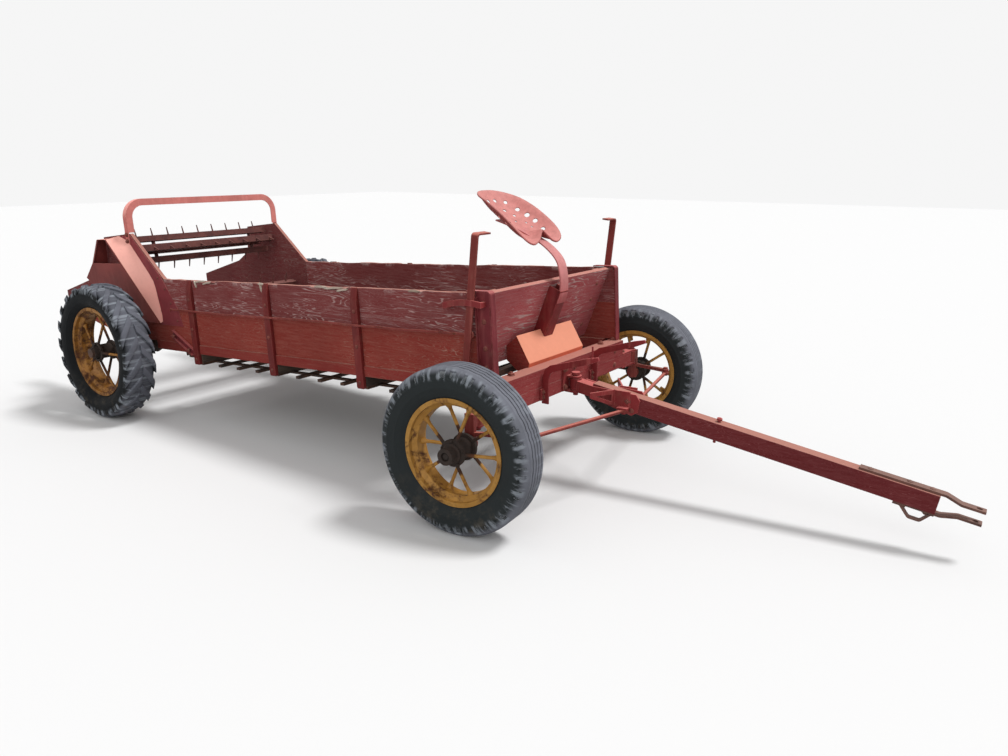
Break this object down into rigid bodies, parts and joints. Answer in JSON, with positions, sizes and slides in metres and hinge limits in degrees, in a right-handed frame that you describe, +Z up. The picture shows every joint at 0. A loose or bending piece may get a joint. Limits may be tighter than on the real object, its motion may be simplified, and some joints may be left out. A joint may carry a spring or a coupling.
{
  "type": "manure spreader",
  "caption": "Pull-type, ground-driven box spreader on rubber tyres, with a slatted apron, toothed beaters under an arch at the rear, a seat and a steering tongue.",
  "frame": {"origin": "On the ground under the middle of the whole machine's bounding box", "axes": "+X forward towards the hitch, +Y to the machine's left, +Z up"},
  "size_m": [5.8944, 2.0052, 1.456],
  "materials": {
    "red_planks": "faded, flaking red paint on weathered planks",
    "bare_planks": "bare weathered timber",
    "red_iron": "sun-faded red paint on iron, rust at the edges",
    "dark_iron": "dark, dull, rusted",
    "beater_iron": "thin red-brown paint over rust",
    "worn_iron": "worn, light rust",
    "orange_paint": "salmon-orange paint, faded by the sun",
    "wheel_paint": "ochre paint, faded, rust coming through",
    "tyre": "old dusty rubber"
  },
  "bodies": {
    "chassis": {"side_plank_upper_right": "red_planks", "side_plank_upper_left": "red_planks", "side_plank_lower_right": "red_planks", "side_plank_lower_left": "red_planks", "rear_panel_right": "red_planks", "rear_panel_left": "red_planks", "sills": "red_planks", "endgate": "red_planks", "endgate_cleats": "red_planks", "front_axle": "red_planks", "bolster": "red_planks", "cross_sills": "bare_planks", "floor_boards": "bare_planks", "stakes": "red_iron", "corner_posts": "red_iron", "levers": "red_iron", "lever_guides": "red_iron", "control_rods": "red_iron", "beater_bearings": "red_iron", "arch": "red_iron", "drive_side_sheet": "red_iron", "chain_cover": "red_iron", "side_braces": "red_iron", "seat_support": "red_iron", "seat_spring": "red_iron", "seat_pan": "red_iron", "axle_irons": "red_iron", "foot_rails": "red_iron", "foot_bars": "red_iron", "tongue_bracket": "red_iron", "apron": "dark_iron", "apron_shafts": "dark_iron", "apron_hangers": "dark_iron", "axle_plates": "dark_iron", "rear_axle": "dark_iron", "foot_box": "orange_paint"},
    "rear_wheel_right": {"rear_tyre_right": "tyre", "rear_wheel_right": "wheel_paint"},
    "rear_wheel_left": {"rear_tyre_left": "tyre", "rear_wheel_left": "wheel_paint"},
    "knuckle_right": {"knuckle_right": "red_iron"},
    "knuckle_left": {"knuckle_left": "red_iron"},
    "front_wheel_right": {"front_tyre_right": "tyre", "front_wheel_right": "wheel_paint"},
    "front_wheel_left": {"front_tyre_left": "tyre", "front_wheel_left": "wheel_paint"},
    "tongue": {"tongue_root": "red_iron", "tongue_wood": "red_planks", "hitch_irons": "worn_iron", "tongue_bolt": "red_iron"},
    "tie_rod_right": {"tie_rod_right": "red_iron"},
    "tie_rod_left": {"tie_rod_left": "red_iron"},
    "upper_beater": {"upper_beater": "beater_iron"},
    "lower_beater": {"lower_beater": "beater_iron"}
  },
  "joints": [
    {"name": "rear_wheel_spin_right", "type": "hinge", "parent": "chassis", "child": "rear_wheel_right", "pos_m": [-1.93034, -0.885, 0.43], "axis": [0, 1, 0], "continuous": true},
    {"name": "rear_wheel_spin_left", "type": "hinge", "parent": "chassis", "child": "rear_wheel_left", "pos_m": [-1.93034, 0.885, 0.43], "axis": [0, 1, 0], "continuous": true},
    {"name": "knuckle_steer_right", "type": "hinge", "parent": "chassis", "child": "knuckle_right", "pos_m": [0.99966, -0.74, 0.494], "axis": [0, 0, 1], "range_deg": [-30.3, 17.3]},
    {"name": "front_wheel_spin_right", "type": "hinge", "parent": "knuckle_right", "child": "front_wheel_right", "pos_m": [1.01562, -0.88009, 0.385], "axis": [-0.1132, 0.9936, 0], "continuous": true},
    {"name": "knuckle_steer_left", "type": "hinge", "parent": "chassis", "child": "knuckle_left", "pos_m": [0.99966, 0.74, 0.494], "axis": [0, 0, 1], "range_deg": [-30.3, 17.3]},
    {"name": "front_wheel_spin_left", "type": "hinge", "parent": "knuckle_left", "child": "front_wheel_left", "pos_m": [0.9837, 0.88009, 0.385], "axis": [-0.1132, 0.9936, 0], "continuous": true},
    {"name": "tongue_steer", "type": "hinge", "parent": "chassis", "child": "tongue", "pos_m": [1.07266, 0, 0.5], "axis": [0, 0, 1], "range_deg": [-21.64, 12.36]},
    {"name": "tie_rod_swing_right", "type": "hinge", "parent": "tongue", "child": "tie_rod_right", "pos_m": [1.37702, -0.0415, 0.419], "axis": [0, 0, 1], "range_deg": [-13.65, 23.85]},
    {"name": "tie_rod_swing_left", "type": "hinge", "parent": "tongue", "child": "tie_rod_left", "pos_m": [1.36634, 0.09007, 0.419], "axis": [0, 0, 1], "range_deg": [-13.77, 24.07]},
    {"name": "upper_beater_spin", "type": "hinge", "parent": "chassis", "child": "upper_beater", "pos_m": [-2.06517, 0, 1.03123], "axis": [0, 1, 0], "continuous": true},
    {"name": "lower_beater_spin", "type": "hinge", "parent": "chassis", "child": "lower_beater", "pos_m": [-1.77701, 0, 0.63717], "axis": [0, 1, 0], "continuous": true}
  ],
  "couplings": [
    {"joint": "knuckle_steer_right", "follows": "tongue_steer", "ratio": 1.4},
    {"joint": "knuckle_steer_left", "follows": "tongue_steer", "ratio": 1.4},
    {"joint": "tie_rod_swing_right", "follows": "tongue_steer", "ratio": -1.1},
    {"joint": "tie_rod_swing_left", "follows": "tongue_steer", "ratio": -1.11}
  ]
}
